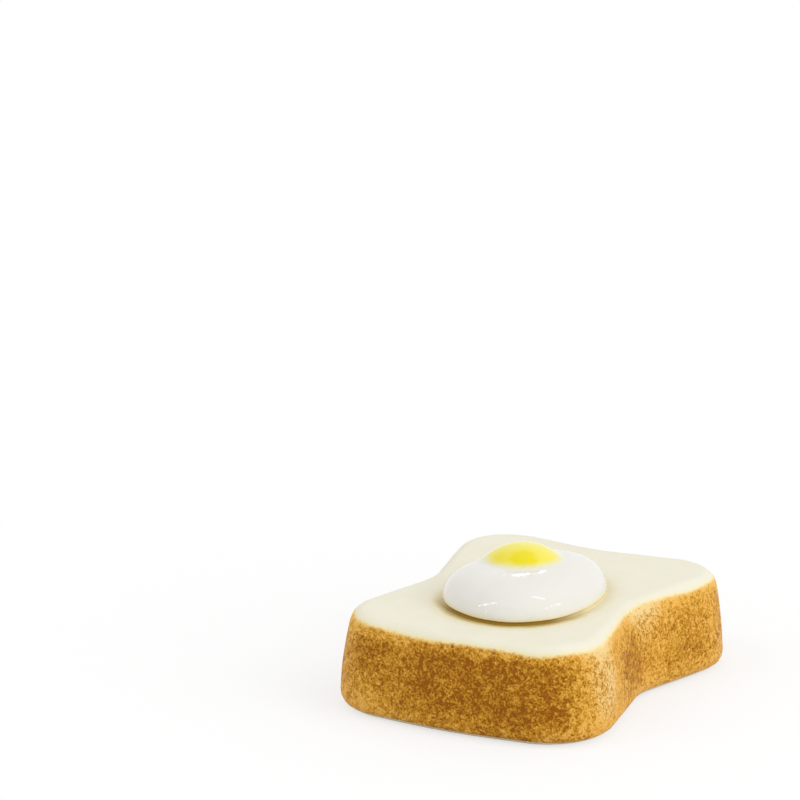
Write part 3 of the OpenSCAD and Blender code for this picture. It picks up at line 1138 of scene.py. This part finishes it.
class MESH_OT_toast_slice_body(bpy.types.Operator):
    """Model the clay body with its foot rim and the recess under it"""

    bl_idname = "mesh.toast_slice_body"
    bl_label = "Slice Body"
    bl_options = {"REGISTER", "UNDO"}

    def execute(self, context):
        wall = SliceWall(context.scene)
        sizes, coats = wall.sizes, wall.coats
        line, top = wall.wiped_line, wall.height - coats.thickness
        recess_inset = sizes.base_edge_radius + sizes.foot_rim_width
        recess_edge = sizes.recess_depth * 0.7
        rim_edge = 0.25 * MM

        skin = Skin("slice_body", wall.ring(wall.side_inset(0) + coats.proud, 0))
        for angle in steps_between(0, QUARTER, 8)[1:]:
            skin.grow(wall.swayed_ring(coats.proud, line * (1 - math.cos(angle))))
        for z in steps_between(line, top, 9)[:-1]:
            skin.grow(wall.swayed_ring(coats.thickness, z))
        cap = wall.ring(wall.side_inset(top) + coats.thickness, top)
        skin.grow(cap)
        skin.close_over(cap, Vector((0, 0, top)), inner_parts(5))

        skin.open_again()
        skin.grow(wall.ring(recess_inset - rim_edge, 0))
        for angle in steps_between(0, QUARTER, 3)[1:]:
            inset = recess_inset - rim_edge * (1 - math.sin(angle))
            skin.grow(wall.ring(inset, rim_edge * (1 - math.cos(angle))))
        for angle in steps_between(0, QUARTER, 6):
            inset = recess_inset + recess_edge * (1 - math.cos(angle))
            z = sizes.recess_depth - recess_edge * (1 - math.sin(angle))
            skin.grow(wall.ring(inset, z))
        ceiling = wall.ring(recess_inset + recess_edge, sizes.recess_depth)
        middle = Vector((0, 0, sizes.recess_depth))
        skin.close_over(ceiling, middle, (0.85, 0.68, 0.5, 0.32, 0.15))
        dress(skin.finish(), "bread_slice", bare_clay())
        return {"FINISHED"}


class MESH_OT_toast_crust_coat(bpy.types.Operator):
    """Model the brown glaze coat round the sides"""

    bl_idname = "mesh.toast_crust_coat"
    bl_label = "Crust Coat"
    bl_options = {"REGISTER", "UNDO"}

    def execute(self, context):
        wall = SliceWall(context.scene)
        low, high = wall.wiped_line, wall.crust_top
        lip = wall.coats.lip_radius
        skin = Skin("crust_coat", wall.swayed_ring(lip, low))
        for angle in steps_between(0, QUARTER, 5)[1:]:
            depth = lip * (1 - math.sin(angle))
            skin.grow(wall.swayed_ring(depth, low + lip * (1 - math.cos(angle))))
        for z in steps_between(low + lip, high - SEAM_STEP, 18)[1:] + [high]:
            skin.grow(wall.swayed_ring(0, z))
        for z in steps_between(high, low, 6):
            skin.grow(wall.swayed_ring(wall.coats.thickness, z))
        skin.join_to_start()
        piece = skin.finish()
        wall.mark_below_edge(piece)
        dress(piece, "crust_glaze", brown_glaze())
        return {"FINISHED"}


class MESH_OT_toast_crumb_coat(bpy.types.Operator):
    """Model the cream glaze coat over the top face and its rounded edge"""

    bl_idname = "mesh.toast_crumb_coat"
    bl_label = "Crumb Coat"
    bl_options = {"REGISTER", "UNDO"}

    def execute(self, context):
        wall = SliceWall(context.scene)
        thickness, radius = wall.coats.thickness, wall.sizes.top_edge_radius
        low, high = wall.crust_top, wall.height
        near_edge = 0.985
        skin = Skin("crumb_coat", wall.ring(wall.side_inset(low), low))
        start = math.asin((low - high + radius) / radius)
        rounding = steps_between(start, QUARTER, 10)[1:]
        for z in [low + SEAM_STEP] + [high - radius * (1 - math.sin(turn)) for turn in rounding]:
            skin.grow(wall.ring(wall.side_inset(z), z))
        edge = wall.ring(wall.side_inset(high), high)
        skin.close_over(edge, Vector((0, 0, high)), [near_edge] + inner_parts(26))

        skin.open_again()
        floor = high - thickness
        for z in steps_between(low, floor, 4):
            inner = wall.ring(wall.side_inset(z) + thickness, z)
            skin.grow(inner)
        skin.close_over(inner, Vector((0, 0, floor)), inner_parts(4))
        piece = skin.finish()
        wall.mark_below_edge(piece)
        dress(piece, "crumb_glaze", cream_glaze())
        return {"FINISHED"}


class MESH_OT_toast_egg_white(bpy.types.Operator):
    """Model the egg white with its rounded rim and the yolk's seat"""

    bl_idname = "mesh.toast_egg_white"
    bl_label = "Egg White"
    bl_options = {"REGISTER", "UNDO"}

    def execute(self, context):
        egg = EggForm(context.scene)
        foot = egg.undercut_ring(egg.undercut_from)
        skin = Skin("fried_white", foot)
        skin.grow_all(egg.undercut_rings(egg.undercut_from, QUARTER, 9)[1:])
        seam, rim = egg.yolk_circle(egg.seam), egg.rim()
        shares = [math.cos(angle) for angle in steps_between(0, QUARTER, 46)[1:-1]]
        for share_out in shares + [egg.seam_step_share, 0.0]:
            dome = [inner.lerp(outer, share_out) for inner, outer in zip(seam, rim)]
            skin.grow([egg.on_egg(point) for point in dome])
        skin.grow(egg.level(seam, egg.half_seat))
        seat = egg.level(seam, egg.seat_floor)
        skin.grow(seat)
        skin.close_over(seat, egg.seat_middle, egg.seat_shares)

        skin.open_again()
        middle = egg.middle.to_3d() + Vector((0, 0, egg.base))
        skin.close_over(foot, middle, inner_parts(4))
        dress(skin.finish(), "egg_white", glossy_egg("white_glaze"))
        return {"FINISHED"}


class MESH_OT_toast_egg_yolk(bpy.types.Operator):
    """Model the domed yolk that fills its seat in the white"""

    bl_idname = "mesh.toast_egg_yolk"
    bl_label = "Egg Yolk"
    bl_options = {"REGISTER", "UNDO"}

    def execute(self, context):
        egg = EggForm(context.scene)
        seam = egg.yolk_circle(egg.seam)
        seat = egg.level(seam, egg.seat_floor)
        skin = Skin("yolk_dome", seat)
        skin.grow(egg.level(seam, egg.half_seat))
        for part in [1, 1 - egg.seam_step_share] + inner_parts(26):
            skin.grow([egg.on_egg(point) for point in egg.yolk_circle(egg.seam * part)])
        skin.close_at(egg.on_egg(egg.yolk_middle))

        skin.open_again()
        skin.close_over(seat, egg.seat_middle, egg.seat_shares)
        dress(skin.finish(), "egg_yolk", glossy_egg("yellow_glaze"))
        return {"FINISHED"}


class MESH_OT_toast_glaze_pool(bpy.types.Operator):
    """Model the amber glaze pooled under the egg white's rim"""

    bl_idname = "mesh.toast_glaze_pool"
    bl_label = "Pooled Glaze"
    bl_options = {"REGISTER", "UNDO"}

    def execute(self, context):
        egg = EggForm(context.scene)
        top_out = egg.undercut_out(egg.pool_top)
        climb = egg.sizes.rim_height * egg.sizes.pool_climb
        end = math.radians(60)
        skin = Skin("glaze_pool", egg.level(egg.pool_rim(top_out, end), egg.base))
        for angle in steps_between(end, 0, 8)[:-1]:
            z = egg.base + climb * (1 - math.sin(angle))
            skin.grow(egg.level(egg.pool_rim(top_out, angle), z))
        skin.grow_all(egg.undercut_rings(egg.pool_top, egg.undercut_from, 6))
        skin.join_to_start()
        dress(skin.finish(), "glaze_bead", amber_glaze())
        return {"FINISHED"}


# Stage


def seen_directly(tree):
    """1 where the camera, a reflection or a view through glass meets a surface, otherwise 0."""
    path = add_node(tree, "ShaderNodeLightPath").outputs
    seen = math_node(tree, "MAXIMUM", path["Is Camera Ray"], path["Is Glossy Ray"])
    return math_node(tree, "MAXIMUM", seen, path["Is Transmission Ray"])


def floor_material():
    """White floor that takes the shadow near the rest and is plain white further out."""
    material, tree, shader, place = new_material("paper_floor")
    seen = seen_directly(tree)
    looks = {
        "Base Color": mixed(tree, seen, (0.7, 0.7, 0.7), (1, 1, 1)),
        "Roughness": 0.9,
        "Specular IOR Level": 0.0,
    }
    fed(tree, shader, looks)
    shadow_reach, white_from, near_white = 35.0, 120.0, 0.65
    far = rise(tree, vector_node(tree, "LENGTH", place), shadow_reach, white_from)
    white_share = math_node(tree, "MULTIPLY_ADD", far, 1 - near_white, near_white)
    white_share = math_node(tree, "MULTIPLY", seen, white_share)
    white = add_node(tree, "ShaderNodeEmission", {"Color": (1, 1, 1, 1), "Strength": 1.0})
    inputs = {0: white_share, 1: shader.outputs[0], 2: white.outputs[0]}
    surface = add_node(tree, "ShaderNodeMixShader", inputs).outputs[0]
    fed(tree, tree.nodes["Material Output"], {"Surface": surface})
    return material


def white_surroundings(strength):
    """White world that looks white in the camera and in reflections, and lights softly."""
    world = bpy.data.worlds.new("white_studio")
    bpy.context.scene.world = world
    world.use_nodes = True
    tree = world.node_tree
    level = between(tree, seen_directly(tree), strength, 1.0)
    fed(tree, tree.nodes["Background"], {"Color": (1, 1, 1, 1), "Strength": level})


# Lamps: name, place, direction of the width, width and height in metres, and power in watts.
SOFTBOX = ("right_softbox", (0.70, -0.05, 0.40), (0, 1, 0), 0.7, 0.7, 2.15)
STRIPS = (
    ("left_strip", (-0.40, -0.36, 0.56), (0.38, 0.06, 0.30), 0.46, 0.055, 0.58),
    ("left_low_strip", (-0.45, -0.61, 0.31), (0, 0, 1), 0.16, 0.03, 0.08),
    ("right_strip", (0.33, 0.13, 0.74), (1, 0.2, -1), 0.30, 0.04, 0.32),
    ("right_low_strip", (0.70, 0.10, 0.40), (0, 1, 0), 0.30, 0.03, 0.20),
    ("back_left_pane", (-0.330, 0.655, 0.30), (1, 0.5, 0), 0.009, 0.022, 0.0024),
    ("back_right_pane", (-0.311, 0.6645, 0.30), (1, 0.5, 0), 0.009, 0.022, 0.0024),
)
LAMP_AIM = Vector((0, 0, 8 * MM))


def soft_lamp(name, place, along, width, height, power):
    """A flat soft lamp that points at the rest. Its width lies along a given direction."""
    bpy.ops.object.light_add(type="AREA")
    lamp = bpy.context.object
    lamp.name = name
    lamp.data.shape = "RECTANGLE"
    lamp.data.size = width
    lamp.data.size_y = height
    lamp.data.energy = power
    place, along = Vector(place), Vector(along)
    back = (place - LAMP_AIM).normalized()
    side = (along - back * along.dot(back)).normalized()
    axes = Matrix((side, back.cross(side), back)).transposed()
    lamp.matrix_world = Matrix.Translation(place) @ axes.to_4x4()
    return lamp


def camera_axes(stage):
    """The camera's right, up and backward directions."""
    turn, tilt, roll = stage.azimuth, stage.elevation, stage.roll
    level_right = Vector((math.cos(turn), math.sin(turn), 0))
    level_ahead = Vector((-math.sin(turn), math.cos(turn), 0))
    forward = level_ahead * math.cos(tilt) - Vector((0, 0, math.sin(tilt)))
    level_up = level_right.cross(forward)
    right = level_right * math.cos(roll) + level_up * math.sin(roll)
    up = level_up * math.cos(roll) - level_right * math.sin(roll)
    return right, up, -forward


class SCENE_OT_toast_stage(bpy.types.Operator):
    """Set up the floor, the soft lamps and the camera"""

    bl_idname = "scene.toast_stage"
    bl_label = "Stage"
    bl_options = {"REGISTER", "UNDO"}

    def execute(self, context):
        stage = context.scene.toast_stage
        bpy.ops.object.select_all(action="DESELECT")
        bpy.ops.mesh.primitive_circle_add(
            vertices=96, radius=stage.floor_radius, fill_type="NGON", location=(0, 0, 0)
        )
        floor = context.object
        floor.name = "paper_floor"
        floor.data.materials.append(floor_material())

        white_surroundings(stage.sky_light)
        soft_lamp(*SOFTBOX).visible_glossy = False
        for strip in STRIPS:
            soft_lamp(*strip)

        data = bpy.data.cameras.new("front_camera")
        camera = bpy.data.objects.new("front_camera", data)
        context.collection.objects.link(camera)
        data.sensor_fit = "HORIZONTAL"
        data.sensor_width = stage.sensor_width
        data.lens = stage.focal_length
        data.clip_start = 0.01
        turned = Matrix(camera_axes(stage)).transposed().to_4x4()
        camera.matrix_world = Matrix.Translation(stage.camera_place) @ turned
        context.scene.camera = camera
        context.scene.view_settings.view_transform = "Standard"
        return {"FINISHED"}


class VIEW3D_PT_toast_rest(bpy.types.Panel):
    """Lists the pieces of the chopstick rest and the values that shape them"""

    bl_idname = "VIEW3D_PT_toast_rest"
    bl_label = "Toast Rest"
    bl_space_type = "VIEW_3D"
    bl_region_type = "UI"
    bl_category = "Toast Rest"

    def draw(self, context):
        for operator in OPERATORS:
            self.layout.operator(operator.bl_idname)
        for group in SETTINGS:
            settings = getattr(context.scene, group)
            box = self.layout.box()
            for name in settings.__annotations__:
                box.prop(settings, name)


SETTINGS = {
    "toast_slice": ToastSliceSizes,
    "toast_coats": ToastCoatSizes,
    "toast_egg": FriedEggSizes,
    "toast_colours": ToastColours,
    "toast_stage": ToastStageSettings,
}
OPERATORS = (
    MESH_OT_toast_slice_body,
    MESH_OT_toast_crust_coat,
    MESH_OT_toast_crumb_coat,
    MESH_OT_toast_egg_white,
    MESH_OT_toast_egg_yolk,
    MESH_OT_toast_glaze_pool,
    SCENE_OT_toast_stage,
)
CLASSES = tuple(SETTINGS.values()) + OPERATORS + (VIEW3D_PT_toast_rest,)


def register():
    """Makes the operators, the panel and the settings known to Blender."""
    for each in CLASSES:
        bpy.utils.register_class(each)
    for name, group in SETTINGS.items():
        setattr(bpy.types.Scene, name, bpy.props.PointerProperty(type=group))


def unregister():
    """Takes the settings, the panel and the operators out again."""
    for name in SETTINGS:
        delattr(bpy.types.Scene, name)
    for each in reversed(CLASSES):
        bpy.utils.unregister_class(each)


def main():
    """Makes every piece and the stage."""
    register()
    bpy.ops.mesh.toast_slice_body()
    bpy.ops.mesh.toast_crust_coat()
    bpy.ops.mesh.toast_crumb_coat()
    bpy.ops.mesh.toast_egg_white()
    bpy.ops.mesh.toast_egg_yolk()
    bpy.ops.mesh.toast_glaze_pool()
    bpy.ops.scene.toast_stage()


if __name__ == "__main__":
    main()
